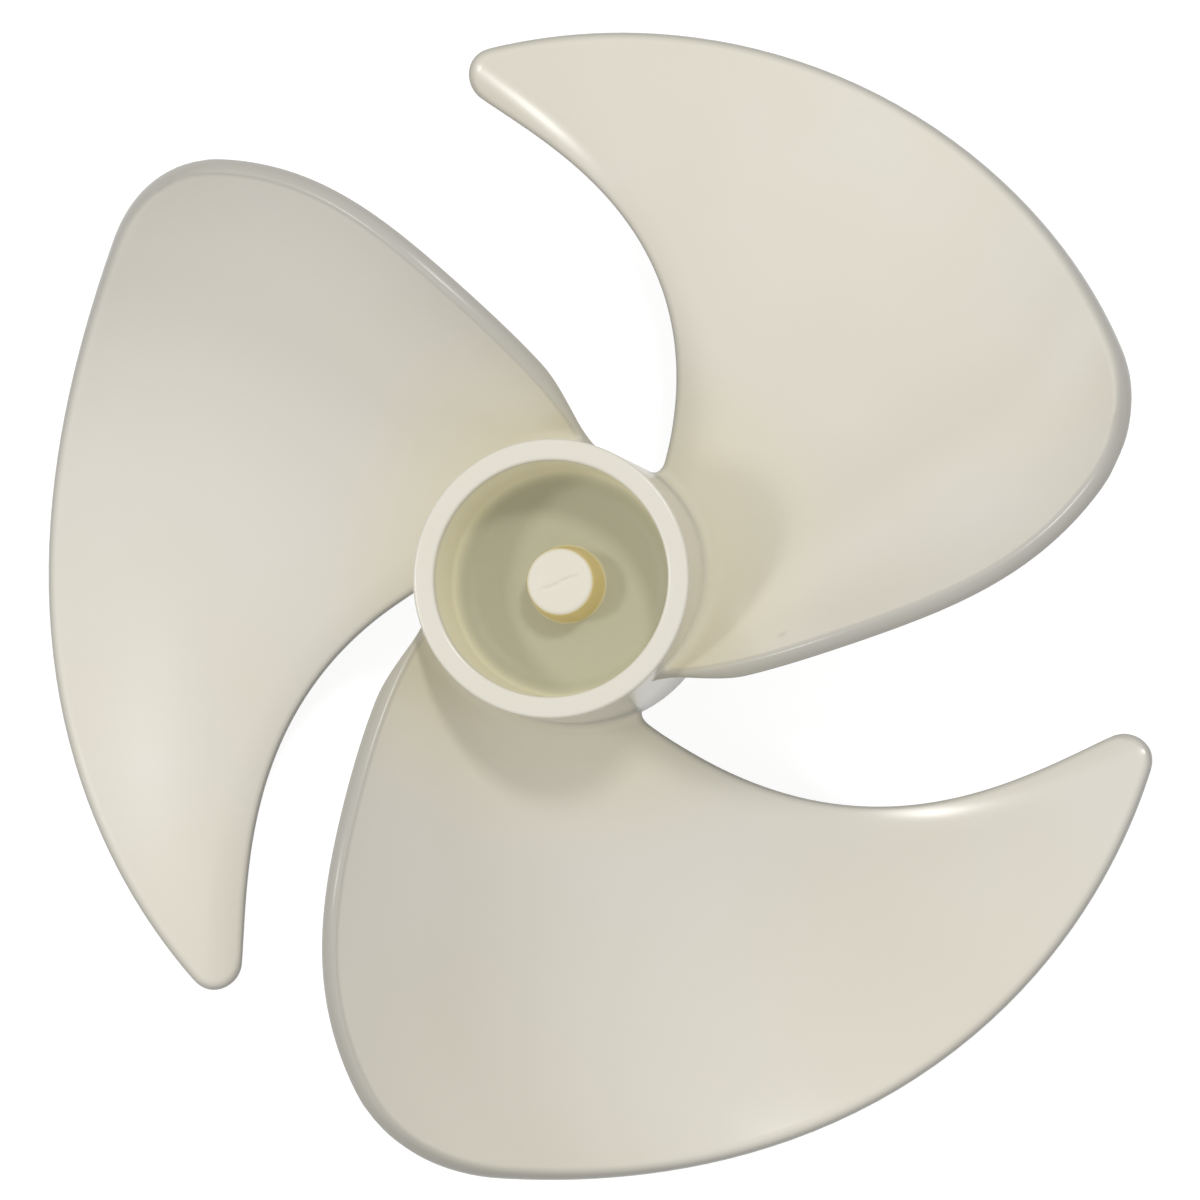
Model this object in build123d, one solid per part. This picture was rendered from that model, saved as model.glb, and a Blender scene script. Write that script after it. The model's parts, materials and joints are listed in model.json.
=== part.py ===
from build123d import *
import math
import os

# Three-blade moulded fan. Its axis is Z and its front faces +Z. The heights below are taken from the hub's
# front rim; the finished part is moved so that the straight wall of its shaft bore starts at the origin.
BLADES = 3
FAN_RADIUS = 55.0

# Hub: a straight cup with a web, open to the front and, less deep, to the back.
HUB_RADIUS = 12.8
HUB_HEIGHT = 18.9
HUB_WALL = 1.95
CUP_DRAFT_ANGLE = 2.0
CUP_DEPTH = 9.4
CUP_BEVEL = 1.6
WEB_THICKNESS = 1.8
RIM_BEVEL = 0.4

# Closed post in the front cup, wider at its foot.
POST_DROP = 5.1
POST_RADIUS = 3.1
POST_DRAFT_ANGLE = 6.0
POST_BEVEL = 0.5

# Shaft boss on the back of the web, with the blind bore of the motor shaft.
BOSS_RADIUS = 3.9
BOSS_RECESS = 0.5
BORE_RADIUS = 1.585
BORE_ROOF = 2.0
BORE_LEAD = 0.4

# Blade plan: the angle of each edge, in degrees, at a few places from the hub (0) to the tip (1).
LEADING_ANGLES = [(0.0, 54.8), (0.218, 68.6), (0.502, 83.7), (0.787, 99.7), (1.0, 108.0)]
TRAILING_ANGLES = [(0.0, -41.6), (0.194, -20.1), (0.455, -6.3), (0.74, 3.7), (1.0, 16.4)]
TIP_ROUND = 2.8
CORNER_ROUND = 14.0

# Depth of each blade edge behind the rim, and how late a section rises from leading to trailing edge.
LEADING_ROOT_LIFT = 3.8
LEADING_ROOT_DEPTH = HUB_HEIGHT - LEADING_ROOT_LIFT
LEADING_MID_DEPTH = 27.1
LEADING_TIP_DEPTH = 31.3
TRAILING_ROOT_DEPTH = 3.8
TRAILING_MID_DEPTH = -1.7
TRAILING_TIP_DEPTH = 4.0
MID_RATIO = 0.502
ROOT_EXPONENT = 1.57
TIP_EXPONENT = 4.23

# Rolled lip along the leading edge.
LIP_WIDTH = 6.5
LIP_DROP = 1.0

# Blade body, its eased front edge and the blend of its root into the hub.
BLADE_THICKNESS = 1.7
FRONT_EASE = 0.6
ROOT_RISE = 1.7
ROOT_REACH = 2.4
ROOT_SPREAD_RATIO = 0.05
ROOT_END_RATIO = 0.35
ROOT_FULLNESS = 0.8
ROOT_SECTIONS = 9

# How far the blade's surface runs into the hub and past its outline, and the grid it is drawn on.
ROOT_DEPTH = 1.0
OVERLAP = 2.0
LEADING_MARGIN_RATIO = 0.04
TRAILING_MARGIN_RATIO = 0.05
ROWS = 19
ROW_BIAS = 1.4
COLUMNS = 31
COLUMN_BIAS = 1.5
OUTLINE_POINTS = 11


def through(stations, place):
    """Value at a place of the polynomial through the (place, value) stations."""
    total = 0.0
    for i, (at, value) in enumerate(stations):
        weight = 1.0
        for j, (other, _) in enumerate(stations):
            if j != i:
                weight *= (place - other) / (at - other)
        total += weight * value
    return total


def outward(r):
    """Place of a radius along the blade, from the hub (0) to the tip (1)."""
    return (r - HUB_RADIUS) / (FAN_RADIUS - HUB_RADIUS)


def polar(r, degrees, z=0.0):
    """Point at radius r, an angle in degrees and height z."""
    angle = math.radians(degrees)
    return Vector(r * math.cos(angle), r * math.sin(angle), z)


def edge_angle(plan, r):
    """Angle of a blade edge at radius r."""
    return through(plan, outward(r))


def middle_angle(r):
    """Angle halfway between the blade's edges at radius r."""
    return 0.5 * (edge_angle(LEADING_ANGLES, r) + edge_angle(TRAILING_ANGLES, r))


def edge_height(root, middle, tip, r):
    """Height at radius r of a blade edge with these depths at the hub, halfway out and at the tip."""
    return -through([(0.0, root), (MID_RATIO, middle), (1.0, tip)], outward(r))


def front_point(r, u):
    """Point of the front surface; u runs from the leading edge (0) to the trailing edge (1)."""
    lead = edge_angle(LEADING_ANGLES, r)
    turn = lead - edge_angle(TRAILING_ANGLES, r)
    low = edge_height(LEADING_ROOT_DEPTH, LEADING_MID_DEPTH, LEADING_TIP_DEPTH, r)
    high = edge_height(TRAILING_ROOT_DEPTH, TRAILING_MID_DEPTH, TRAILING_TIP_DEPTH, r)
    rise = ROOT_EXPONENT + (TIP_EXPONENT - ROOT_EXPONENT) * outward(r)
    inset = u * r * math.radians(turn) / LIP_WIDTH
    lip = LIP_DROP * max(1.0 - inset, 0.0) ** 2
    return polar(r, lead - u * turn, low + (high - low) * max(u, 0.0) ** rise - lip)


def behind(r, u, depth):
    """Point a depth behind the front surface, square to it."""
    along = front_point(1.0005 * r, u) - front_point(0.9995 * r, u)
    across = front_point(r, u - 0.0005) - front_point(r, u + 0.0005)
    return front_point(r, u) - along.cross(across).normalized() * depth


def blade_surface():
    """Front surface of one blade, drawn past its outline on every side."""
    start = HUB_RADIUS - 1.5 * ROOT_DEPTH
    length = FAN_RADIUS + OVERLAP - start
    radii = [start + length * (i / (ROWS - 1)) ** ROW_BIAS for i in range(ROWS)]
    width = 1.0 + LEADING_MARGIN_RATIO + TRAILING_MARGIN_RATIO
    steps = [-LEADING_MARGIN_RATIO + width * (j / (COLUMNS - 1)) ** COLUMN_BIAS for j in range(COLUMNS)]
    grid = [[front_point(r, u) for u in steps] for r in radii]
    return Face.make_surface_from_array_of_points(grid, tol=0.003, min_deg=3, max_deg=5)


def blade_prism():
    """Upright prism over the blade's outline, with its tip and its outer corner rounded."""
    start = HUB_RADIUS - ROOT_DEPTH
    last = OUTLINE_POINTS - 1
    radii = [start + (FAN_RADIUS - start) * i / last for i in range(OUTLINE_POINTS)]
    lead = [polar(r, edge_angle(LEADING_ANGLES, r)) for r in radii]
    trail = [polar(r, edge_angle(TRAILING_ANGLES, r)) for r in radii]
    root_middle = polar(start, middle_angle(start))
    rim_middle = polar(FAN_RADIUS, middle_angle(FAN_RADIUS))
    outline = Wire([
        Edge.make_spline(lead),
        Edge.make_three_point_arc(lead[-1], rim_middle, trail[-1]),
        Edge.make_spline(trail),
        Edge.make_three_point_arc(trail[0], root_middle, lead[0]),
    ])
    floor = Location((0, 0, -2.0 * FAN_RADIUS))
    prism = Solid.extrude(Face(outline).moved(floor), Vector(0, 0, 4.0 * FAN_RADIUS))
    for corner, size in ((lead[-1], TIP_ROUND), (trail[-1], CORNER_ROUND)):
        upright = prism.edges().filter_by(Axis.Z).sort_by_distance(corner)[0]
        prism = prism.fillet(size, [upright])
    return prism


def eased_blade():
    """One blade: its front surface thickened towards the back, with its free front edges eased."""
    front = blade_surface() & blade_prism()
    blade = Solid.thicken(front, BLADE_THICKNESS, normal_override=(0, 0, -1))
    face = blade.faces().sort_by(SortBy.AREA)[-2:].sort_by(Axis.Z)[-1]
    free = [e for e in face.edges() if math.hypot((e @ 0.5).X, (e @ 0.5).Y) > HUB_RADIUS]
    return blade.chamfer(FRONT_EASE, None, free)


def root_blend():
    """Hollow-sided wedge round the blade's root, which runs from inside the hub wall out into the blade."""
    inner = HUB_RADIUS - ROOT_DEPTH
    sections = []
    for i in range(ROOT_SECTIONS):
        place = i / (ROOT_SECTIONS - 1)
        u = -ROOT_SPREAD_RATIO + (1.0 + 2.0 * ROOT_SPREAD_RATIO) * place
        swell = ROOT_END_RATIO + (1.0 - ROOT_END_RATIO) * math.sqrt(max(math.sin(math.pi * place), 0.0))
        outer = HUB_RADIUS + ROOT_REACH * swell
        rise = Vector(0, 0, ROOT_RISE * swell)
        top = front_point(inner, u) + rise
        bottom = behind(inner, u, BLADE_THICKNESS) - rise
        tip = behind(outer, u, 0.5 * BLADE_THICKNESS)
        elbow = behind(inner, u, 0.5 * BLADE_THICKNESS) * (1.0 - ROOT_FULLNESS)
        sections.append(Wire([
            Edge.make_line(bottom, top),
            Edge.make_three_point_arc(top, (top + tip) * 0.5 * ROOT_FULLNESS + elbow, tip),
            Edge.make_three_point_arc(tip, (bottom + tip) * 0.5 * ROOT_FULLNESS + elbow, bottom),
        ]))
    return Solid.make_loft(sections)


def turned(points):
    """Solid turned about Z from a closed outline of (radius, height) points."""
    outline = Wire.make_polygon([Vector(x, 0, z) for x, z in points], close=True)
    return Solid.revolve(Face(outline), 360, Axis.Z)


def ring_edge(solid, r, z):
    """The circular edge of a turned solid at radius r and height z."""
    rings = solid.edges().filter_by(GeomType.CIRCLE)
    return min(rings, key=lambda e: abs(e.radius - r) + abs(e.arc_center.Z - z))


def narrowing(degrees, length):
    """How far a wall with this draft comes in over a length."""
    return length * math.tan(math.radians(degrees))


def front_cup():
    """Space of the front cup, round the post."""
    floor = -CUP_DEPTH
    mouth = HUB_RADIUS - HUB_WALL
    foot = mouth - narrowing(CUP_DRAFT_ANGLE, CUP_DEPTH)
    post_foot = POST_RADIUS + narrowing(POST_DRAFT_ANGLE, CUP_DEPTH - POST_DROP)
    cup = turned([
        (0, -POST_DROP), (POST_RADIUS, -POST_DROP), (post_foot, floor), (foot, floor), (mouth, 0),
        (mouth, FAN_RADIUS), (0, FAN_RADIUS),
    ])
    cup = cup.chamfer(POST_BEVEL, None, [ring_edge(cup, POST_RADIUS, -POST_DROP)])
    return cup.chamfer(CUP_BEVEL, None, [ring_edge(cup, foot, floor)])


def back_cup():
    """Space of the back cup, round the shaft boss."""
    web = -CUP_DEPTH - WEB_THICKNESS
    mouth = HUB_RADIUS - HUB_WALL
    foot = mouth - narrowing(CUP_DRAFT_ANGLE, HUB_HEIGHT + web)
    end = -HUB_HEIGHT + BOSS_RECESS
    return turned([
        (0, end), (BOSS_RADIUS, end), (BOSS_RADIUS, web), (foot, web), (mouth, -HUB_HEIGHT),
        (mouth, -2.0 * HUB_HEIGHT), (0, -2.0 * HUB_HEIGHT),
    ])


def shaft_bore():
    """Blind bore of the motor shaft with its lead-in, open to the back."""
    end = -HUB_HEIGHT + BOSS_RECESS
    roof = -POST_DROP - BORE_ROOF
    return turned([
        (0, roof), (BORE_RADIUS, roof), (BORE_RADIUS, end + BORE_LEAD), (BORE_RADIUS + BORE_LEAD, end),
        (BORE_RADIUS + BORE_LEAD, end - BORE_LEAD), (0, end - BORE_LEAD),
    ])


def fan_blade():
    """The whole moulding."""
    blade = eased_blade().fuse(root_blend())
    hub = Solid.make_cylinder(HUB_RADIUS, HUB_HEIGHT, Plane((0, 0, -HUB_HEIGHT)))
    gap = 0.5 * (LEADING_ANGLES[0][1] + TRAILING_ANGLES[0][1] + 360 / BLADES)
    fan = hub.rotate(Axis.Z, gap).fuse(*[blade.rotate(Axis.Z, 360 * k / BLADES) for k in range(BLADES)])
    hollows = [front_cup(), back_cup(), shaft_bore()]
    fan = fan.cut(*[hollow.rotate(Axis.Z, gap) for hollow in hollows]).solids()[0]
    rims = [(HUB_RADIUS, 0), (HUB_RADIUS - HUB_WALL, 0), (HUB_RADIUS, -HUB_HEIGHT)]
    fan = fan.chamfer(RIM_BEVEL, None, [ring_edge(fan, r, z) for r, z in rims])
    return fan.moved(Location((0, 0, HUB_HEIGHT - BOSS_RECESS - BORE_LEAD)))


if __name__ == "__main__":
    os.makedirs("parts", exist_ok=True)
    export_step(fan_blade(), "parts/fan_blade.step")
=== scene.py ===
"""Looks of a moulded three-blade fan: its blades, its cup hub, its plastic and the studio round it."""
import json
import logging
import math
from dataclasses import dataclass, field
from enum import Enum
from typing import Any

import bmesh
import bpy
import numpy as np
from mathutils import Matrix, Vector
from mathutils.kdtree import KDTree

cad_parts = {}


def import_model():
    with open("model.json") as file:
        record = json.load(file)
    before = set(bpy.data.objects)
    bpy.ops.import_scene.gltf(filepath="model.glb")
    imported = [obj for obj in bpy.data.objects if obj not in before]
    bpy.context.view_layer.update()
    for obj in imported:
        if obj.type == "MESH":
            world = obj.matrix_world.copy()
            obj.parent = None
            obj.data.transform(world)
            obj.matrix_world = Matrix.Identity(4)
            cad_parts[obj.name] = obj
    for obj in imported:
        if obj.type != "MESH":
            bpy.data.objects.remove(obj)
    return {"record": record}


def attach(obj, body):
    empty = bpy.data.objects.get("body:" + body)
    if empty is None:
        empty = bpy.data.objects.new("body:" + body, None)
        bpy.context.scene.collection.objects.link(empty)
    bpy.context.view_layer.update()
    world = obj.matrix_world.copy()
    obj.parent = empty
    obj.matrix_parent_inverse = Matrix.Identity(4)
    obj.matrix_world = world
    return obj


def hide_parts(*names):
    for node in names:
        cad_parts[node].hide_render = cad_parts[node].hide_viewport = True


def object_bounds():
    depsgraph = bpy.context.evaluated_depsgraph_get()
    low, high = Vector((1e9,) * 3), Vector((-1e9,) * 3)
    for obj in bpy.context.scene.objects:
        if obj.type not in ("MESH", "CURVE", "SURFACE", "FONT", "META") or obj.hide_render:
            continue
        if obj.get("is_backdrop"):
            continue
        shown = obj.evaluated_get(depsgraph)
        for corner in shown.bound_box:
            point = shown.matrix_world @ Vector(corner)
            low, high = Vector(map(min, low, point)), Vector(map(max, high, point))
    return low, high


LOG = logging.getLogger("fan_blade")
MM = 0.001
TINY = 1e-12
EDGE = "edge_nearness"
Array = np.ndarray


class Side(Enum):
    """The two skins of a blade; the value is the way the skin lies from the blade's middle."""

    FRONT = 1.0
    BACK = -1.0


class Edge(Enum):
    """The two long edges of a blade; the value is the edge's place across the blade."""

    LEADING = 0.0
    TRAILING = 1.0


def through(stations: tuple[tuple[float, float], ...], place: Array) -> Array:
    """Evaluate the polynomial that passes through a few stations.

    Args:
        stations: (place, value) pairs.
        place: Where the polynomial is wanted.

    Returns:
        The polynomial's values.
    """
    total = np.zeros_like(place, dtype=float)
    for i, (at, value) in enumerate(stations):
        weight = np.full_like(total, value)
        for j, (other, _) in enumerate(stations):
            if j != i:
                weight = weight * (place - other) / (at - other)
        total = total + weight
    return total


def smooth_step(low: float, high: float, value: Array) -> Array:
    """Rise smoothly from 0 at low to 1 at high."""
    share = np.clip((value - low) / (high - low), 0.0, 1.0)
    return share * share * (3.0 - 2.0 * share)


def link_mesh(name: str, points: Array, faces: list[tuple[int, ...]],
              edges: Array | None = None) -> bpy.types.Object:
    """Make a mesh object from points in millimetres.

    Args:
        name: Name of the object and its mesh.
        points: One row for each vertex.
        faces: Vertex indices of each face.
        edges: How near each vertex is to a blade's edge, from 0 to 1.

    Returns:
        The linked object, with its normals turned outwards.
    """
    mesh = bpy.data.meshes.new(name)
    mesh.from_pydata((np.asarray(points) * MM).tolist(), [], faces)
    work = bmesh.new()
    work.from_mesh(mesh)
    bmesh.ops.recalc_face_normals(work, faces=work.faces)
    work.to_mesh(mesh)
    work.free()
    if edges is not None:
        mesh.attributes.new(EDGE, "FLOAT", "POINT").data.foreach_set("value", edges)
    thing = bpy.data.objects.new(name, mesh)
    bpy.context.scene.collection.objects.link(thing)
    return thing


def drop_object(thing: bpy.types.Object) -> None:
    """Remove an object and its mesh.

    Args:
        thing: The mesh object.
    """
    mesh = thing.data
    bpy.data.objects.remove(thing)
    bpy.data.meshes.remove(mesh)


@dataclass(frozen=True)
class Blade:
    """One twisted, forward-swept blade, in millimetres. Depths are taken from the hub's front rim."""

    hub_radius: float
    hub_height: float
    rim_height: float
    fan_radius: float = 55.0
    thickness: float = 1.7
    leading_plan: tuple[tuple[float, float], ...] = (
        (0.0, 54.8), (0.218, 68.6), (0.502, 83.7), (0.787, 99.7), (1.0, 108.0))
    trailing_plan: tuple[tuple[float, float], ...] = (
        (0.0, -41.6), (0.194, -20.1), (0.455, -6.3), (0.74, 3.7), (1.0, 16.4))
    tip_round: float = 2.8
    corner_round: float = 14.0
    leading_root_lift: float = 3.8
    leading_mid_depth: float = 27.1
    leading_tip_depth: float = 31.3
    trailing_root_depth: float = 3.8
    trailing_mid_depth: float = -1.7
    trailing_tip_depth: float = 4.0
    mid_place: float = 0.502
    rise_root: float = 1.57
    rise_tip: float = 4.23
    lip_width: float = 4.0
    lip_drop: float = 1.1
    edge_round: float = 0.45
    edge_reach: float = 1.5
    root_sink: float = 1.0
    root_reach: float = 1.5
    root_front: float = 1.5
    root_back: float = 0.7
    root_side: float = 1.0
    root_turn: float = 75.0
    root_run_on: float = 0.25
    root_hold: float = 6.0
    edge_columns: int = 10
    middle_columns: int = 70
    column_crowding: float = 0.125
    root_rows: int = 12
    middle_rows: int = 64
    row_crowding: float = 1.25
    edge_rows: int = 10
    step_r: float = 0.01
    step_u: float = 0.0005
    rate_steps: int = 200
    corner_steps: int = 4000
    corner_halvings: int = 50
    trim_steps: int = 6000

    @property
    def half(self) -> float:
        """Half of the blade's thickness."""
        return 0.5 * self.thickness

    def outward(self, r: Array) -> Array:
        """Place of a radius along the blade, from the hub (0) to the tip (1)."""
        return (r - self.hub_radius) / (self.fan_radius - self.hub_radius)

    def edge_angle(self, edge: Edge, r: Array) -> Array:
        """Angle of a blade edge at radius r, in degrees."""
        plan = self.leading_plan if edge is Edge.LEADING else self.trailing_plan
        return through(plan, self.outward(r))

    def skin(self, r: Array, u: Array) -> Array:
        """Find points of the front skin, before its edges are rounded.

        Args:
            r: Radii.
            u: Places from the leading edge (0) to the trailing edge (1).

        Returns:
            Points, with their coordinates on the last axis.
        """
        place = self.outward(r)
        lead = self.edge_angle(Edge.LEADING, r)
        turn = lead - self.edge_angle(Edge.TRAILING, r)
        leading_root_depth = self.hub_height - self.leading_root_lift
        low = -through(((0.0, leading_root_depth), (self.mid_place, self.leading_mid_depth),
                        (1.0, self.leading_tip_depth)), place)
        high = -through(((0.0, self.trailing_root_depth), (self.mid_place, self.trailing_mid_depth),
                         (1.0, self.trailing_tip_depth)), place)
        rise = self.rise_root + (self.rise_tip - self.rise_root) * place
        step = self.step_r
        ahead = self.edge_angle(Edge.LEADING, r + step) - self.edge_angle(Edge.LEADING, r - step)
        sweep = r * np.radians(ahead) / (2.0 * step)
        inset = u * r * np.radians(turn) / np.hypot(1.0, sweep)
        lip = self.lip_drop * np.maximum(1.0 - inset / self.lip_width, 0.0) ** 2
        angle = np.radians(lead - u * turn)
        height = self.rim_height + low + (high - low) * np.maximum(u, 0.0) ** rise - lip
        return np.stack([r * np.cos(angle), r * np.sin(angle), height], axis=-1)

    def slopes(self, r: Array, u: Array) -> tuple[Array, Array]:
        """Find how the front skin changes.

        Args:
            r: Radii.
            u: Places across the blade.

        Returns:
            Its changes with the radius and with the place across the blade.
        """
        step_r = self.step_r
        step_u = self.step_u
        along = (self.skin(r + step_r, u) - self.skin(r - step_r, u)) / (2.0 * step_r)
        across = (self.skin(r, u + step_u) - self.skin(r, u - step_u)) / (2.0 * step_u)
        return along, across

    def normal(self, r: Array, u: Array) -> Array:
        """Find the normals of the front skin.

        Args:
            r: Radii.
            u: Places across the blade.

        Returns:
            Unit normals, towards the front.
        """
        along, across = self.slopes(r, u)
        square = np.cross(across, along)
        return square / np.linalg.norm(square, axis=-1, keepdims=True)

    def edge_rate(self, edge: Edge, r: Array) -> Array:
        """Find how fast the place across the blade changes square to an edge.

        Args:
            edge: The edge.
            r: Radii.

        Returns:
            Change of place for a millimetre, at each radius.
        """
        table = np.linspace(self.hub_radius - self.root_sink, self.fan_radius, self.rate_steps)
        along, across = self.slopes(table, np.full_like(table, edge.value))
        area = np.linalg.norm(np.cross(along, across), axis=-1)
        return np.interp(r, table, np.linalg.norm(along, axis=-1) / area)

    def columns(self, r: Array, spread: Array) -> Array:
        """Lay the columns of the mesh across the blade.

        The columns beside an edge keep their distance from it, so that the round of the edge is drawn evenly.
        The others share the rest of the width.

        Args:
            r: Radii, with one entry for each column on the last axis.
            spread: How far the root flares past both edges, of the same shape.

        Returns:
            Places from the leading edge to the trailing edge.
        """
        near = 1.0 - np.cos(np.linspace(0.0, 0.5 * math.pi, self.edge_columns))
        count = self.edge_columns
        share = np.linspace(0.0, 1.0, self.middle_columns + 2)[1:-1]
        share = share - self.column_crowding * np.sin(2.0 * math.pi * share)
        lead_rate = self.edge_rate(Edge.LEADING, r)
        trail_rate = self.edge_rate(Edge.TRAILING, r)
        first = self.edge_round * lead_rate
        last = 1.0 - self.edge_round * trail_rate
        u = np.empty_like(r)
        start = (self.edge_round + spread[..., :count]) * near - spread[..., :count]
        u[..., :count] = start * lead_rate[..., :count]
        u[..., count:-count] = (first + (last - first) * np.concatenate(
            [np.zeros(count), share, np.ones(count)]))[..., count:-count]
        far = (self.edge_round + spread[..., -count:]) * near[::-1] - spread[..., -count:]
        u[..., -count:] = 1.0 - far * trail_rate[..., -count:]
        return u

    def corner_circle(self, edge: Edge, size: float) -> Array:
        """Find the plan circle that touches an edge and, from inside, the fan's circle.

        Args:
            edge: The edge that it touches.
            size: Radius of the circle.

        Returns:
            The circle's centre.
        """
        radii = np.linspace(self.hub_radius, self.fan_radius, self.corner_steps)
        angles = np.radians(self.edge_angle(edge, radii))
        line = np.stack([radii * np.cos(angles), radii * np.sin(angles)], axis=-1)
        outer = angles[-1]
        inner = outer + (1.0 if edge is Edge.TRAILING else -1.0)
        centre = np.zeros(2)
        for _ in range(self.corner_halvings):
            middle = 0.5 * (inner + outer)
            centre = (self.fan_radius - size) * np.array([math.cos(middle), math.sin(middle)])
            if np.linalg.norm(line - centre, axis=1).min() > size:
                inner = middle
            else:
                outer = middle
        return centre

    def top_radii(self) -> Array:
        """Find where each column meets the blade's outer edge, its tip round or its corner round.

        Returns:
            A radius for each column.
        """
        count = 2 * self.edge_columns + self.middle_columns
        radii = np.linspace(self.hub_radius + self.root_reach, self.fan_radius, self.trim_steps)
        r = np.repeat(radii[:, None], count, axis=1)
        places = self.columns(r, np.zeros_like(r))
        plan = self.skin(r, places)[..., :2]
        top = np.full(count, self.fan_radius)
        rounds = ((Edge.LEADING, self.tip_round, 1.0), (Edge.TRAILING, self.corner_round, -1.0))
        for edge, size, way in rounds:
            centre = self.corner_circle(edge, size)
            bearing = math.atan2(centre[1], centre[0])
            gaps = np.linalg.norm(plan - centre, axis=-1)
            for i in range(count):
                end = math.atan2(plan[-1, i, 1], plan[-1, i, 0])
                if way * (end - bearing) > 0.0:
                    inside = np.nonzero(gaps[:, i] <= size)[0]
                    top[i] = radii[inside[-1]] if len(inside) else radii[gaps[:, i].argmin()]
        return top

    def rows(self) -> tuple[Array, Array]:
        """Lay the rows of the mesh from inside the hub wall out to the blade's outer edge.

        Returns:
            The radius and the share of the root's flare at each row and column.
        """
        top = self.top_radii()[None, :]
        bend = np.radians(np.linspace(self.root_turn, 0.0, self.root_rows))
        flare = 1.0 - np.cos(bend)
        root = self.hub_radius + self.root_reach * (1.0 - np.sin(bend))
        deep = root[0] - self.root_run_on * self.root_reach * math.cos(bend[0])
        full = flare[0] + self.root_run_on * math.sin(bend[0])
        root = np.concatenate([[self.hub_radius - self.root_sink, deep], root])
        flare = np.concatenate([[full, full], flare])
        ones = np.ones_like(top)
        share = np.linspace(0.0, 1.0, self.middle_rows + 1)[1:, None] ** self.row_crowding
        middle = root[-1] + (top - self.edge_round - root[-1]) * share
        roll = np.cos(np.linspace(0.5 * math.pi, 0.0, self.edge_rows))[1:, None]
        edge = top - self.edge_round * (1.0 - np.sin(np.arccos(1.0 - roll)))
        r = np.concatenate([root[:, None] * ones, middle, edge], axis=0)
        flares = np.zeros_like(r)
        flares[:len(flare)] = flare[:, None]
        return r, flares

    def skins(self) -> tuple[dict[Side, Array], Array]:
        """Both skins of the blade, with its rounded edges and its flared root.

        Returns:
            Points of each skin, rows first, then columns, and how near each is to an edge.
        """
        r, flare = self.rows()
        spread = self.root_side * flare
        u = self.columns(r, spread)
        normals = self.normal(r, u)
        middle = self.skin(r, u) - self.half * normals
        inner = np.minimum(u / self.edge_rate(Edge.LEADING, r), (1.0 - u) / self.edge_rate(Edge.TRAILING, r))
        depth = inner + spread
        free = flare[:, 0] == 0.0
        depth[free] = np.minimum(depth[free], self.rim_gap(middle[free], middle[-1]))
        swell = np.sqrt(1.0 - (1.0 - np.clip(depth / (self.edge_round + spread), 0.0, 1.0)) ** 2)[..., None]
        flare = flare[..., None]
        skins = {}
        for side, swelling in ((Side.FRONT, self.root_front), (Side.BACK, self.root_back)):
            offset = normals * (self.half + swelling * flare) * swell
            skins[side] = self.held(middle + side.value * offset, r)
        return skins, np.clip(1.0 - depth / self.edge_reach, 0.0, 1.0)

    def held(self, points: Array, r: Array) -> Array:
        """Bring the points near the root back to their row's radius, so that the root meets the hub evenly.

        Args:
            points: Points of a skin.
            r: Radius of each point's row.

        Returns:
            The points, moved towards or away from the axis.
        """
        hold = 1.0 - smooth_step(self.hub_radius + self.root_reach, self.hub_radius + self.root_hold, r)
        share = 1.0 + hold * (r / np.hypot(points[..., 0], points[..., 1]) - 1.0)
        return points * np.stack([share, share, np.ones_like(share)], axis=-1)

    @staticmethod
    def rim_gap(points: Array, line: Array) -> Array:
        """Measure how far points lie from a chain of points.

        Args:
            points: The points.
            line: The chain.

        Returns:
            The distance of each point.
        """
        start = line[:-1]
        run = np.diff(line, axis=0)
        size = np.maximum((run * run).sum(axis=1), TINY)
        away = points[..., None, :] - start
        share = np.clip((away * run).sum(axis=-1) / size, 0.0, 1.0)
        return np.linalg.norm(away - share[..., None] * run, axis=-1).min(axis=-1)

    def build(self, name: str, turn: float) -> bpy.types.Object:
        """Make one closed blade.

        Args:
            name: Name of the object.
            turn: Angle about the fan's axis, in degrees.

        Returns:
            The blade, which runs into the hub wall.
        """
        skins, near = self.skins()
        rows, count = near.shape
        front = np.arange(rows * count).reshape(rows, count)
        back = front.copy()
        back[:-1, 1:-1] = rows * count + np.arange((rows - 1) * (count - 2)).reshape(rows - 1, count - 2)
        behind = skins[Side.BACK][:-1, 1:-1]
        points = np.concatenate([skins[Side.FRONT].reshape(-1, 3), behind.reshape(-1, 3)])
        edges = np.concatenate([near.ravel(), near[:-1, 1:-1].ravel()])
        faces = []
        for net in (front, back[:, ::-1]):
            for j in range(rows - 1):
                for i in range(count - 1):
                    faces.append((net[j, i], net[j, i + 1], net[j + 1, i + 1], net[j + 1, i]))
        for i in range(count - 1):
            ring = (front[0, i], back[0, i], back[0, i + 1], front[0, i + 1])
            faces.append(tuple(dict.fromkeys(ring)))
        faces = [tuple(int(v) for v in face) for face in faces]
        angle = math.radians(turn)
        spin = np.array([[math.cos(angle), -math.sin(angle), 0.0], [math.sin(angle), math.cos(angle), 0.0],
                         [0.0, 0.0, 1.0]])
        return link_mesh(name, points @ spin.T, faces, edges)


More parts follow.
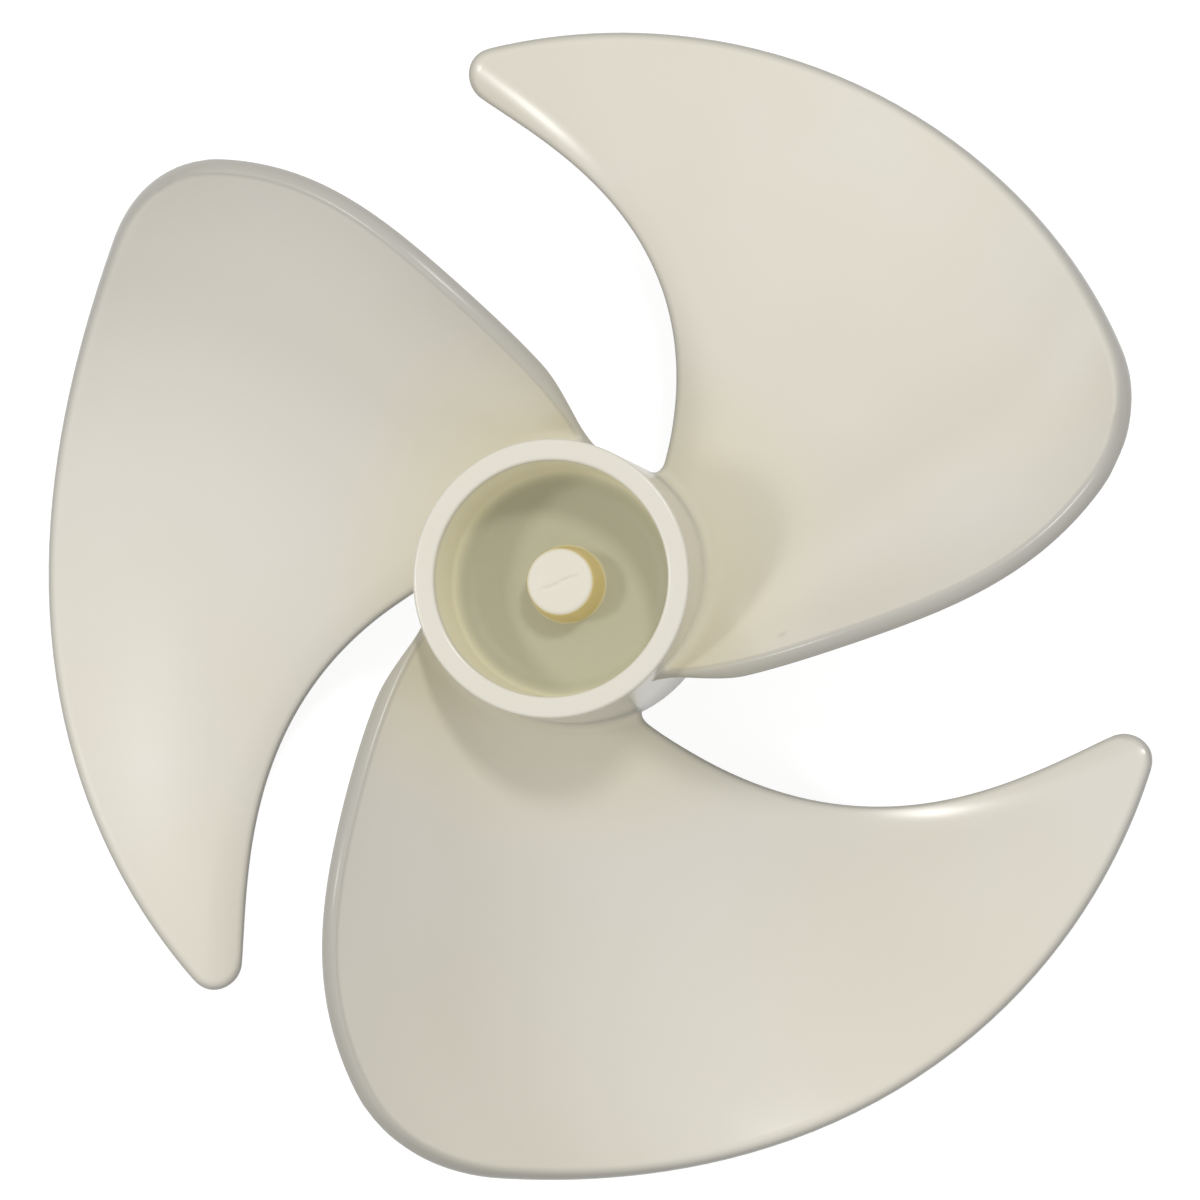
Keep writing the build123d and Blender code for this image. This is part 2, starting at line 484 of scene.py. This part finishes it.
@dataclass(frozen=True)
class Hub:
    """The cup hub with its tapered post, back cup and shaft boss, in millimetres."""

    bore_radius: float
    bore_length: float
    radius: float = 12.8
    height: float = 18.9
    wall: float = 1.95
    cup_draft: float = 2.0
    cup_depth: float = 9.4
    web: float = 1.8
    post_drop: float = 5.1
    post_radius: float = 3.1
    post_draft: float = 6.0
    boss_radius: float = 3.9
    boss_recess: float = 0.5
    bore_lead: float = 0.4
    rim_round: float = 0.3
    cup_round: float = 2.2
    post_round: float = 0.45
    foot_round: float = 0.35
    small_round: float = 0.22
    back_round: float = 0.6
    gate_turn: float = 22.0
    gate_step: float = 0.06
    gate_rise: tuple[float, float] = (-0.15, 0.2)
    gate_cut: float = 0.07
    gate_cut_shift: float = 0.12
    gate_cut_width: float = 0.2
    gate_waves: tuple[tuple[float, float], ...] = ((0.05, 2.6), (0.03, 7.0))
    gate_window: tuple[float, float] = (0.42, 0.75)
    end_tolerance: float = 0.01
    segments: int = 192
    round_steps: int = 8
    longest_step: float = 1.3
    end_step: float = 0.22

    @property
    def rim_height(self) -> float:
        """Height of the front rim above the start of the bore's straight wall."""
        return self.height - self.boss_recess - self.bore_lead

    def corners(self) -> list[tuple[float, float, float]]:
        """Lay out the corners of the hub's section, from the post's end to the bore's roof.

        Returns:
            (radius, height, round) of each corner.
        """
        rim = self.rim_height
        floor = rim - self.cup_depth
        web = floor - self.web
        back = rim - self.height
        end = back + self.boss_recess
        mouth = self.radius - self.wall
        slope = math.tan(math.radians(self.cup_draft))
        flank = math.tan(math.radians(self.post_draft))
        return [
            (0.0, rim - self.post_drop, 0.0),
            (self.post_radius, rim - self.post_drop, self.post_round),
            (self.post_radius + flank * (self.cup_depth - self.post_drop), floor, self.foot_round),
            (mouth - slope * self.cup_depth, floor, self.cup_round),
            (mouth, rim, self.rim_round),
            (self.radius, rim, self.rim_round),
            (self.radius, back, self.rim_round),
            (mouth, back, self.rim_round),
            (mouth - slope * (web - back), web, self.back_round),
            (self.boss_radius, web, self.back_round),
            (self.boss_radius, end, self.small_round),
            (self.bore_radius + self.bore_lead, end, 0.0),
            (self.bore_radius, 0.0, 0.0),
            (self.bore_radius, self.bore_length, 0.0),
            (0.0, self.bore_length, 0.0),
        ]

    def section(self) -> Array:
        """Section of the hub with its corners rounded and its long runs divided.

        Returns:
            (radius, height) points, the first and the last on the axis.
        """
        corners = self.corners()
        chain = [np.array(corners[0][:2])]
        for before, corner, after in zip(corners, corners[1:], corners[2:]):
            here = np.array(corner[:2])
            towards = np.array(before[:2]) - here
            away = np.array(after[:2]) - here
            towards /= np.linalg.norm(towards)
            away /= np.linalg.norm(away)
            if corner[2] == 0.0:
                chain.append(here)
                continue
            opening = math.acos(float(np.clip(towards @ away, -1.0, 1.0)))
            middle = (towards + away) / np.linalg.norm(towards + away)
            centre = here + middle * corner[2] / math.sin(0.5 * opening)
            start = here + towards * corner[2] / math.tan(0.5 * opening) - centre
            finish = here + away * corner[2] / math.tan(0.5 * opening) - centre
            turn = math.pi - opening
            for share in np.linspace(0.0, 1.0, self.round_steps + 1):
                weights = math.sin((1.0 - share) * turn), math.sin(share * turn)
                chain.append(centre + (weights[0] * start + weights[1] * finish) / math.sin(turn))
        chain.append(np.array(corners[-1][:2]))
        points = [chain[0]]
        for before, here in zip(chain, chain[1:]):
            longest = self.end_step if here[0] < self.post_radius and before[0] == 0.0 else self.longest_step
            pieces = max(1, math.ceil(np.linalg.norm(here - before) / longest))
            points += [before + (here - before) * (k + 1) / pieces for k in range(pieces)]
        return np.array(points)

    def gate_mark(self, points: Array) -> Array:
        """Lift of the post's end where the moulding's gate was cut off, slantwise and a little ragged.

        Args:
            points: Points of the hub.

        Returns:
            The height to add to each point.
        """
        turn = math.radians(self.gate_turn)
        along = points[:, 0] * math.cos(turn) + points[:, 1] * math.sin(turn)
        beside = points[:, 1] * math.cos(turn) - points[:, 0] * math.sin(turn)
        for size, rate in self.gate_waves:
            beside = beside - size * np.sin(rate * along)
        r = np.hypot(points[:, 0], points[:, 1])
        on_end = np.abs(points[:, 2] - self.rim_height + self.post_drop) < self.end_tolerance
        inner, outer = (share * self.post_radius for share in self.gate_window)
        window = 1.0 - smooth_step(inner, outer, r)
        lift = self.gate_step * smooth_step(*self.gate_rise, beside)
        cut = self.gate_cut * np.exp(-((beside + self.gate_cut_shift) / self.gate_cut_width) ** 2)
        return np.where(on_end, window * (lift - cut), 0.0)

    def build(self, name: str) -> bpy.types.Object:
        """Turn the hub's section about the axis.

        Args:
            name: Name of the object.

        Returns:
            The closed hub.
        """
        section = self.section()
        turns = np.linspace(0.0, 2.0 * math.pi, self.segments, endpoint=False)
        rings = section[1:-1]
        points = np.stack([
            rings[:, 0, None] * np.cos(turns),
            rings[:, 0, None] * np.sin(turns),
            np.repeat(rings[:, 1, None], self.segments, axis=1),
        ], axis=-1).reshape(-1, 3)
        ends = np.array([[0.0, 0.0, section[0, 1]], [0.0, 0.0, section[-1, 1]]])
        points = np.concatenate([points, ends])
        points[:, 2] += self.gate_mark(points)
        net = np.arange(len(rings) * self.segments).reshape(len(rings), self.segments)
        first, last = len(points) - 2, len(points) - 1
        faces = []
        for k in range(self.segments):
            after = (k + 1) % self.segments
            faces.append((first, int(net[0, after]), int(net[0, k])))
            faces.append((last, int(net[-1, k]), int(net[-1, after])))
            for j in range(len(rings) - 1):
                faces.append((int(net[j, k]), int(net[j, after]), int(net[j + 1, after]), int(net[j + 1, k])))
        return link_mesh(name, points, faces)


class Shader:
    """A material's node tree, with short calls to add and link its nodes."""

    def __init__(self, name: str) -> None:
        """Start a material with an empty tree and an output node.

        Args:
            name: Name of the material.
        """
        self.material = bpy.data.materials.new(name)
        self.material.use_nodes = True
        self.tree = self.material.node_tree
        self.tree.nodes.clear()
        self.output = self.add("ShaderNodeOutputMaterial")

    def add(self, kind: str, **settings: Any) -> bpy.types.Node:
        """Add a node.

        Args:
            kind: Blender's name of the node's type.
            **settings: Values of the node's properties; a name that starts with in_ sets an input.

        Returns:
            The new node.
        """
        node = self.tree.nodes.new(kind)
        for key, value in settings.items():
            if key.startswith("in_"):
                node.inputs[key[3:].replace("_", " ").title()].default_value = value
            else:
                setattr(node, key, value)
        return node

    def link(self, source: bpy.types.NodeSocket, target: bpy.types.NodeSocket) -> None:
        """Link two sockets."""
        self.tree.links.new(source, target)

    def noise(self, place: bpy.types.NodeSocket, scale: float, detail: float) -> bpy.types.NodeSocket:
        """Add noise.

        Args:
            place: Where it is read.
            scale: Repeats for a metre.
            detail: Number of finer layers.

        Returns:
            The noise, from 0 to 1.
        """
        node = self.add("ShaderNodeTexNoise", in_scale=scale, in_detail=detail)
        self.link(place, node.inputs["Vector"])
        return node.outputs["Fac"]

    def ramp(self, value: bpy.types.NodeSocket, low: float, high: float, start: float,
             finish: float) -> bpy.types.NodeSocket:
        """Map a value from low and high to start and finish, smoothly and within them.

        Args:
            value: The value to map.
            low: Value that gives start.
            high: Value that gives finish.
            start: Lowest result.
            finish: Highest result.

        Returns:
            The mapped value.
        """
        node = self.add("ShaderNodeMapRange", interpolation_type="SMOOTHSTEP")
        self.link(value, node.inputs["Value"])
        for name, number in (("From Min", low), ("From Max", high), ("To Min", start), ("To Max", finish)):
            node.inputs[name].default_value = number
        return node.outputs["Result"]

    def product(self, first: bpy.types.NodeSocket, second: bpy.types.NodeSocket) -> bpy.types.NodeSocket:
        """Multiply two values.

        Args:
            first: First value.
            second: Second value.

        Returns:
            Their product.
        """
        node = self.add("ShaderNodeMath", operation="MULTIPLY")
        self.link(first, node.inputs[0])
        self.link(second, node.inputs[1])
        return node.outputs[0]

    def larger(self, first: bpy.types.NodeSocket, second: bpy.types.NodeSocket) -> bpy.types.NodeSocket:
        """Take the larger of two values.

        Args:
            first: First value.
            second: Second value.

        Returns:
            The larger one.
        """
        node = self.add("ShaderNodeMath", operation="MAXIMUM")
        self.link(first, node.inputs[0])
        self.link(second, node.inputs[1])
        return node.outputs[0]

    def blend(self, factor: bpy.types.NodeSocket, first: Any, second: Any) -> bpy.types.NodeSocket:
        """Mix two colours, each a socket or a colour of its own.

        Args:
            factor: Share of the second colour.
            first: First colour.
            second: Second colour.

        Returns:
            The mixed colour.
        """
        node = self.add("ShaderNodeMix", data_type="RGBA")
        self.link(factor, node.inputs[0])
        for socket, colour in ((node.inputs[6], first), (node.inputs[7], second)):
            if isinstance(colour, bpy.types.NodeSocket):
                self.link(colour, socket)
            else:
                socket.default_value = (*colour, 1.0)
        return node.outputs[2]


def linear(red: int, green: int, blue: int) -> tuple[float, float, float]:
    """Turn a screen colour into the linear one that shaders take."""
    shares = [value / 255.0 for value in (red, green, blue)]
    return tuple(s / 12.92 if s <= 0.04045 else ((s + 0.055) / 1.055) ** 2.4 for s in shares)


@dataclass(frozen=True)
class MouldedCream:
    """Finish of the moulding: cream plastic with a soft gloss, a little yellowed, with light and shade
    painted into its colour in the cup, beside the hub and along the edges.
    """

    name: str = "moulded_cream_plastic"
    cream: tuple[int, int, int] = (223, 218, 203)
    pale: tuple[int, int, int] = (226, 222, 211)
    # Painted shade: a warm tint on the blades beside the hub, where the hub's shadow falls.
    painted_root_shade: tuple[int, int, int] = (226, 218, 184)
    speck: tuple[int, int, int] = (178, 172, 156)
    # Painted shade on the cup's floor.
    cup_floor_shade: tuple[int, int, int] = (182, 180, 156)
    # Painted light: the cup's inner wall paler, as if lit through the plastic.
    cup_wall_light: tuple[int, int, int] = (245, 240, 214)
    # Painted shade and glow: a golden colour on the side of the post.
    post_side_glow_and_shade: tuple[int, int, int] = (230, 211, 150)
    # Painted shade: a dark grey on the blade edges and on the hub's outer wall, and how much of it lies on
    # the edges.
    side: tuple[int, int, int] = (122, 122, 121)
    edge_band: tuple[float, float] = (0.35, 1.0)
    edge_share: float = 0.5
    # Radii where the painted root shade starts, is full and has faded out, and its strongest share.
    root_shade_reach: tuple[float, float, float] = (12.7, 13.2, 28.0)
    root_shade_share: float = 0.5
    cup_mouth: tuple[float, float] = (10.8, 11.2)
    cup_top: tuple[float, float] = (16.5, 17.7)
    cup_foot: tuple[float, float] = (8.7, 10.4)
    post_end: tuple[float, float] = (2.95, 3.15)
    post_foot: tuple[float, float] = (3.45, 3.75)
    web_back: tuple[float, float] = (6.8, 8.0)
    hub_outside: tuple[float, float] = (12.5, 12.8)
    # Painted shade on the hub's outer wall: darker towards its back, on steep faces only.
    wall_low: tuple[float, float] = (-1.0, 10.0)
    wall_share: float = 0.6
    side_steep: tuple[float, float] = (0.2, 0.5)
    shine: tuple[float, float] = (0.5, 0.1)
    drift_noise: tuple[float, float] = (22.0, 3.0)
    drift_band: tuple[float, float] = (0.35, 0.65)
    gloss_noise: tuple[float, float] = (60.0, 1.0)
    gloss_band: tuple[float, float] = (0.3, 0.7)
    roughness: tuple[float, float] = (0.22, 0.25)
    cup_roughness: float = 0.5
    speck_scale: float = 95.0
    speck_size: tuple[float, float] = (0.03, 0.09)
    speck_pick: tuple[float, float] = (0.965, 0.985)
    speck_share: float = 0.4
    ripple_noise: tuple[float, float] = (110.0, 1.0)
    ripple_height: float = 0.03

    def make(self) -> bpy.types.Material:
        """Build the plastic's node tree.

        Returns:
            The material.
        """
        shader = Shader(self.name)
        where = shader.add("ShaderNodeTexCoord").outputs
        place = where["Object"]
        plastic = shader.add("ShaderNodeBsdfPrincipled")
        shader.link(plastic.outputs["BSDF"], shader.output.inputs["Surface"])
        # The grey on the blade edges and on the hub's outer wall is painted shade.
        painted_edge_shade = self.painted_shade_share(shader, place, where["Normal"])
        colour = shader.blend(painted_edge_shade, self.colour(shader, place), linear(*self.side))
        shader.link(colour, plastic.inputs["Base Color"])
        shader.link(shader.ramp(painted_edge_shade, 0.0, 1.0, *self.shine), plastic.inputs["Specular IOR Level"])
        gloss = shader.ramp(shader.noise(place, *self.gloss_noise), *self.gloss_band, *self.roughness)
        dull = self.band(shader, self.radius(shader, place), self.cup_mouth, self.cup_roughness, 0.0)
        shader.link(shader.larger(gloss, dull), plastic.inputs["Roughness"])
        shader.link(self.relief(shader, place), plastic.inputs["Normal"])
        return shader.material

    def colour(self, shader: Shader, place: bpy.types.NodeSocket) -> bpy.types.NodeSocket:
        """Cream that drifts paler, with painted shade as a warm tint on the blades beside the hub, the cup's
        painted light and shade, and a few specks.

        Args:
            shader: The material in hand.
            place: Place on the object.

        Returns:
            The plastic's colour.
        """
        drift = shader.ramp(shader.noise(place, *self.drift_noise), *self.drift_band, 0.0, 1.0)
        base = shader.blend(drift, linear(*self.cream), linear(*self.pale))
        radius = self.radius(shader, place)
        # Painted shade: a warm tint on the blades beside the hub, fading out along the blades.
        low, middle, high = self.root_shade_reach
        root = self.band(shader, radius, (low, middle), 0.0, 1.0)
        fade = self.band(shader, radius, (middle, high), self.root_shade_share, 0.0)
        base = shader.blend(shader.product(root, fade), base, linear(*self.painted_root_shade))
        base = self.paint_cup_light_and_shade(shader, place, radius, base)
        cells = shader.add("ShaderNodeTexVoronoi", in_scale=self.speck_scale)
        shader.link(place, cells.inputs["Vector"])
        dot = shader.ramp(cells.outputs["Distance"], *self.speck_size, 1.0, 0.0)
        pick = shader.add("ShaderNodeSeparateColor")
        shader.link(cells.outputs["Color"], pick.inputs[0])
        rare = shader.ramp(pick.outputs[0], *self.speck_pick, 0.0, self.speck_share)
        return shader.blend(shader.product(dot, rare), base, linear(*self.speck))

    def band(self, shader: Shader, value: bpy.types.NodeSocket, limits: tuple[float, float], start: float,
             finish: float) -> bpy.types.NodeSocket:
        """Fade from start to finish between two limits in millimetres."""
        return shader.ramp(value, limits[0] * MM, limits[1] * MM, start, finish)

    def radius(self, shader: Shader, place: bpy.types.NodeSocket) -> bpy.types.NodeSocket:
        """Measure how far a place lies from the fan's axis.

        Args:
            shader: The material in hand.
            place: Place on the object.

        Returns:
            The distance.
        """
        flat = shader.add("ShaderNodeVectorMath", operation="MULTIPLY")
        flat.inputs[1].default_value = (1.0, 1.0, 0.0)
        shader.link(place, flat.inputs[0])
        length = shader.add("ShaderNodeVectorMath", operation="LENGTH")
        shader.link(flat.outputs["Vector"], length.inputs[0])
        return length.outputs["Value"]

    def paint_cup_light_and_shade(self, shader: Shader, place: bpy.types.NodeSocket, radius: bpy.types.NodeSocket,
                   base: bpy.types.NodeSocket) -> bpy.types.NodeSocket:
        """Paint light and shade into the cup: painted light on its pale wall, painted shade on its darker
        floor and painted golden shade and glow on the post's side.

        Args:
            shader: The material in hand.
            place: Place on the object.
            radius: Distance from the fan's axis.
            base: Colour of the plastic elsewhere.

        Returns:
            The tinted colour.
        """
        split = shader.add("ShaderNodeSeparateXYZ")
        shader.link(place, split.inputs[0])
        height = split.outputs["Z"]
        inside = self.band(shader, radius, self.cup_mouth, 1.0, 0.0)
        beyond_post = self.band(shader, radius, self.post_foot, 0.0, 1.0)
        inside = shader.product(inside, beyond_post)
        # Painted light on the cup's inner wall.
        wall = shader.product(inside, self.band(shader, height, self.cup_top, 1.0, 0.0))
        # Painted shade: the cup's floor and its fillet darker and olive.
        floor = shader.product(inside, self.band(shader, height, self.cup_foot, 1.0, 0.0))
        # Painted golden shade and glow on the side of the post.
        post = shader.product(self.band(shader, radius, self.post_end, 0.0, 1.0),
                              self.band(shader, radius, self.post_foot, 1.0, 0.0))
        post = shader.product(post, self.band(shader, height, self.web_back, 0.0, 1.0))
        for share, colour in ((wall, self.cup_wall_light), (floor, self.cup_floor_shade), (post, self.post_side_glow_and_shade)):
            base = shader.blend(share, base, linear(*colour))
        return base

    def painted_shade_share(self, shader: Shader, place: bpy.types.NodeSocket,
                   normal: bpy.types.NodeSocket) -> bpy.types.NodeSocket:
        """Share of the grey painted shade, less glossy too, that lies on the blade edges and on the hub's
        outer wall.

        Args:
            shader: The material in hand.
            place: Place on the object.
            normal: The surface's normal on the object.

        Returns:
            A share from 0 to 1.
        """
        split = shader.add("ShaderNodeSeparateXYZ")
        shader.link(normal, split.inputs[0])
        steep = shader.add("ShaderNodeMath", operation="ABSOLUTE")
        shader.link(split.outputs["Z"], steep.inputs[0])
        radius = self.radius(shader, place)
        height = shader.add("ShaderNodeSeparateXYZ")
        shader.link(place, height.inputs[0])
        # Painted shade: the hub's outer wall darker towards its back.
        low = self.band(shader, height.outputs["Z"], self.wall_low, self.wall_share, 0.0)
        low = shader.product(low, self.band(shader, radius, self.hub_outside, 0.0, 1.0))
        wall = shader.product(low, shader.ramp(steep.outputs[0], *self.side_steep, 1.0, 0.0))
        # Painted shade: a dark grey line along the blade edges.
        near = shader.add("ShaderNodeAttribute", attribute_name=EDGE).outputs["Fac"]
        return shader.larger(wall, shader.ramp(near, *self.edge_band, 0.0, self.edge_share))

    def relief(self, shader: Shader, place: bpy.types.NodeSocket) -> bpy.types.NodeSocket:
        """Slow ripple of the cooled plastic.

        Args:
            shader: The material in hand.
            place: Place on the object.

        Returns:
            The bent normal.
        """
        ripple = shader.add("ShaderNodeBump")
        ripple.inputs["Distance"].default_value = self.ripple_height * MM
        shader.link(shader.noise(place, *self.ripple_noise), ripple.inputs["Height"])
        return ripple.outputs["Normal"]


@dataclass
class FanBlade:
    """The whole moulding: a hub and its blades, fused into one skin."""

    hub: Hub
    blade: Blade
    finish: MouldedCream = field(default_factory=MouldedCream)
    blades: int = 3
    crease: float = 40.0
    same_place: float = 0.002

    def build(self) -> bpy.types.Object:
        """Fuse the hub and its blades.

        Returns:
            The moulding as one closed mesh.
        """
        whole = self.hub.build("fan_moulding")
        marks: list[tuple[Vector, float]] = []
        for k in range(self.blades):
            blade = self.blade.build(f"blade_{k + 1}", 360.0 * k / self.blades)
            near = blade.data.attributes[EDGE].data
            marks += [(v.co.copy(), near[v.index].value) for v in blade.data.vertices]
            LOG.info("blade %d has %d faces", k + 1, len(blade.data.polygons))
            fuse = whole.modifiers.new("fuse", "BOOLEAN")
            fuse.operation = "UNION"
            fuse.solver = "EXACT"
            fuse.object = blade
            graph = bpy.context.evaluated_depsgraph_get()
            mesh = bpy.data.meshes.new_from_object(whole.evaluated_get(graph))
            whole.modifiers.clear()
            old = whole.data
            whole.data = mesh
            bpy.data.meshes.remove(old)
            drop_object(blade)
        self.note_edges(whole.data, marks)
        whole.data.shade_smooth()
        whole.data.set_sharp_from_angle(angle=math.radians(self.crease))
        return whole

    def note_edges(self, mesh: bpy.types.Mesh, marks: list[tuple[Vector, float]]) -> None:
        """Carry the nearness to a blade's edge over to the fused mesh.

        Args:
            mesh: The fused mesh.
            marks: Place and nearness of each vertex of the single blades.
        """
        tree = KDTree(len(marks))
        for i, (place, _) in enumerate(marks):
            tree.insert(place, i)
        tree.balance()
        found = [tree.find(v.co) for v in mesh.vertices]
        values = [marks[i][1] if gap < self.same_place * MM else 0.0 for _, i, gap in found]
        edge = mesh.attributes.get(EDGE) or mesh.attributes.new(EDGE, "FLOAT", "POINT")
        edge.data.foreach_set("value", values)

    def dress(self, whole: bpy.types.Object) -> None:
        """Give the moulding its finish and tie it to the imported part.

        Args:
            whole: The moulding.
        """
        whole.data.materials.clear()
        whole.data.materials.append(self.finish.make())
        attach(whole, "root")
        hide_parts("fan_blade")


class Lamp(Enum):
    """The soft boxes of the studio."""

    KEY = "key_softbox"
    FILL = "fill_softbox"


@dataclass(frozen=True)
class Softbox:
    """A square soft light, in metres and watts, that looks at the middle of the fan."""

    lamp: Lamp
    place: tuple[float, float, float]
    size: float
    power: float
    colour: tuple[float, float, float] = (1.0, 1.0, 1.0)

    def hang(self) -> None:
        """Put the light in the scene."""
        light = bpy.data.lights.new(self.lamp.value, "AREA")
        light.shape = "SQUARE"
        light.size = self.size
        light.energy = self.power
        light.color = self.colour
        thing = bpy.data.objects.new(self.lamp.value, light)
        thing.location = self.place
        thing.rotation_euler = (-Vector(self.place)).to_track_quat("-Z", "Y").to_euler()
        bpy.context.scene.collection.objects.link(thing)


@dataclass(frozen=True)
class Studio:
    """The floor, the light and the camera."""

    floor_height: float
    rim_height: float
    floor_size: float = 8.0
    floor_colour: tuple[float, float, float] = (0.3, 0.3, 0.3)
    floor_glow: float = 0.88
    zenith: tuple[float, float, float] = (0.72, 0.72, 0.72)
    horizon: tuple[float, float, float] = (0.46, 0.46, 0.46)
    zenith_from: float = 0.8
    horizon_to: float = 0.1
    softboxes: tuple[Softbox, ...] = (
        Softbox(Lamp.KEY, (-0.468, 0.033, 0.768), 0.12, 1.4),
        Softbox(Lamp.FILL, (0.265, 0.364, 0.779), 0.12, 1.9),
    )
    camera_distance: float = 550.0
    camera_datum: float = 1.5
    camera_tilt: float = 10.0
    camera_side: float = 19.03
    camera_shift: tuple[float, float] = (-4.316, 1.898)
    image_scale: float = 10.92
    image_width: float = 1200.0
    sensor_width: float = 36.0
    nearest: float = 0.01

    def build(self) -> None:
        """Set the whole studio up."""
        self.lay_floor()
        self.light_world()
        for softbox in self.softboxes:
            softbox.hang()
        self.aim_camera()
        bpy.context.scene.view_settings.view_transform = "Standard"

    def background_share(self, shader: Shader) -> bpy.types.NodeSocket:
        """Tell rays that show the background from those that light the object.

        Args:
            shader: The material that needs it.

        Returns:
            1 for rays of the camera, of gloss and through glass, and 0 for the others.
        """
        path = shader.add("ShaderNodeLightPath").outputs
        total = path["Is Camera Ray"]
        for name in ("Is Glossy Ray", "Is Transmission Ray"):
            total = shader.larger(total, path[name])
        return total

    def lay_floor(self) -> None:
        """Lay a pale floor that looks white and keeps a faint shadow."""
        half = 0.5 * self.floor_size / MM
        height = self.floor_height / MM
        corners = [(-half, -half, height), (half, -half, height), (half, half, height), (-half, half, height)]
        floor = link_mesh("floor", np.array(corners), [(0, 1, 2, 3)])
        shader = Shader("pale_floor")
        matt = shader.add("ShaderNodeBsdfDiffuse")
        matt.inputs["Color"].default_value = (*self.floor_colour, 1.0)
        glow = shader.add("ShaderNodeEmission")
        strength = shader.add("ShaderNodeMath", operation="MULTIPLY")
        strength.inputs[1].default_value = self.floor_glow
        shader.link(self.background_share(shader), strength.inputs[0])
        shader.link(strength.outputs[0], glow.inputs["Strength"])
        both = shader.add("ShaderNodeAddShader")
        shader.link(matt.outputs[0], both.inputs[0])
        shader.link(glow.outputs[0], both.inputs[1])
        shader.link(both.outputs[0], shader.output.inputs["Surface"])
        floor.data.materials.append(shader.material)
        floor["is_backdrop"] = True

    def light_world(self) -> None:
        """Fill the room with a modest light that comes from overhead and fades to a dim horizon."""
        world = bpy.data.worlds.new("studio_world")
        world.use_nodes = True
        bpy.context.scene.world = world
        tree = world.node_tree
        tree.nodes.clear()
        split = tree.nodes.new("ShaderNodeSeparateXYZ")
        tree.links.new(tree.nodes.new("ShaderNodeTexCoord").outputs["Generated"], split.inputs[0])
        rise = tree.nodes.new("ShaderNodeMapRange")
        rise.interpolation_type = "SMOOTHSTEP"
        rise.inputs["From Min"].default_value = self.horizon_to
        rise.inputs["From Max"].default_value = self.zenith_from
        tree.links.new(split.outputs["Z"], rise.inputs["Value"])
        sky = tree.nodes.new("ShaderNodeMix")
        sky.data_type = "RGBA"
        sky.inputs[6].default_value = (*self.horizon, 1.0)
        sky.inputs[7].default_value = (*self.zenith, 1.0)
        tree.links.new(rise.outputs["Result"], sky.inputs[0])
        room = tree.nodes.new("ShaderNodeBackground")
        tree.links.new(sky.outputs[2], room.inputs["Color"])
        output = tree.nodes.new("ShaderNodeOutputWorld")
        tree.links.new(room.outputs[0], output.inputs["Surface"])

    def aim_camera(self) -> None:
        """Stand the camera where the photograph was taken: nearly square to the fan, a little tilted."""
        tilt = math.radians(self.camera_tilt)
        side = math.radians(self.camera_side)
        about_x = Matrix.Rotation(-tilt * math.sin(side), 3, "X")
        about_y = Matrix.Rotation(-tilt * math.cos(side), 3, "Y")
        turn = (about_x @ about_y).transposed()
        stand = turn @ Vector((-self.camera_shift[0], -self.camera_shift[1], self.camera_distance))
        lens = bpy.data.cameras.new("camera")
        lens.sensor_width = self.sensor_width
        lens.lens = self.image_scale * self.camera_distance / self.image_width * self.sensor_width
        lens.clip_start = self.nearest
        camera = bpy.data.objects.new("camera", lens)
        datum = Vector((0.0, 0.0, self.rim_height - self.camera_datum))
        camera.matrix_world = Matrix.Translation((stand + datum) * MM) @ turn.to_4x4()
        bpy.context.scene.collection.objects.link(camera)
        bpy.context.scene.camera = camera


def main() -> None:
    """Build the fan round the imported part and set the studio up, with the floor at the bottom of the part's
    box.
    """
    logging.basicConfig(level=logging.INFO, format="%(name)s: %(message)s")
    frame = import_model()
    cad_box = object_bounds()
    bore = frame["record"]["mounts"][0]["dims"]
    hub = Hub(bore_radius=bore["r_mm"], bore_length=bore["length_mm"])
    blade = Blade(hub_radius=hub.radius, hub_height=hub.height, rim_height=hub.rim_height)
    fan = FanBlade(hub, blade)
    whole = fan.build()
    fan.dress(whole)
    LOG.info("%s has %d faces", whole.name, len(whole.data.polygons))
    Studio(floor_height=cad_box[0].z, rim_height=hub.rim_height).build()


if __name__ == "__main__":
    main()
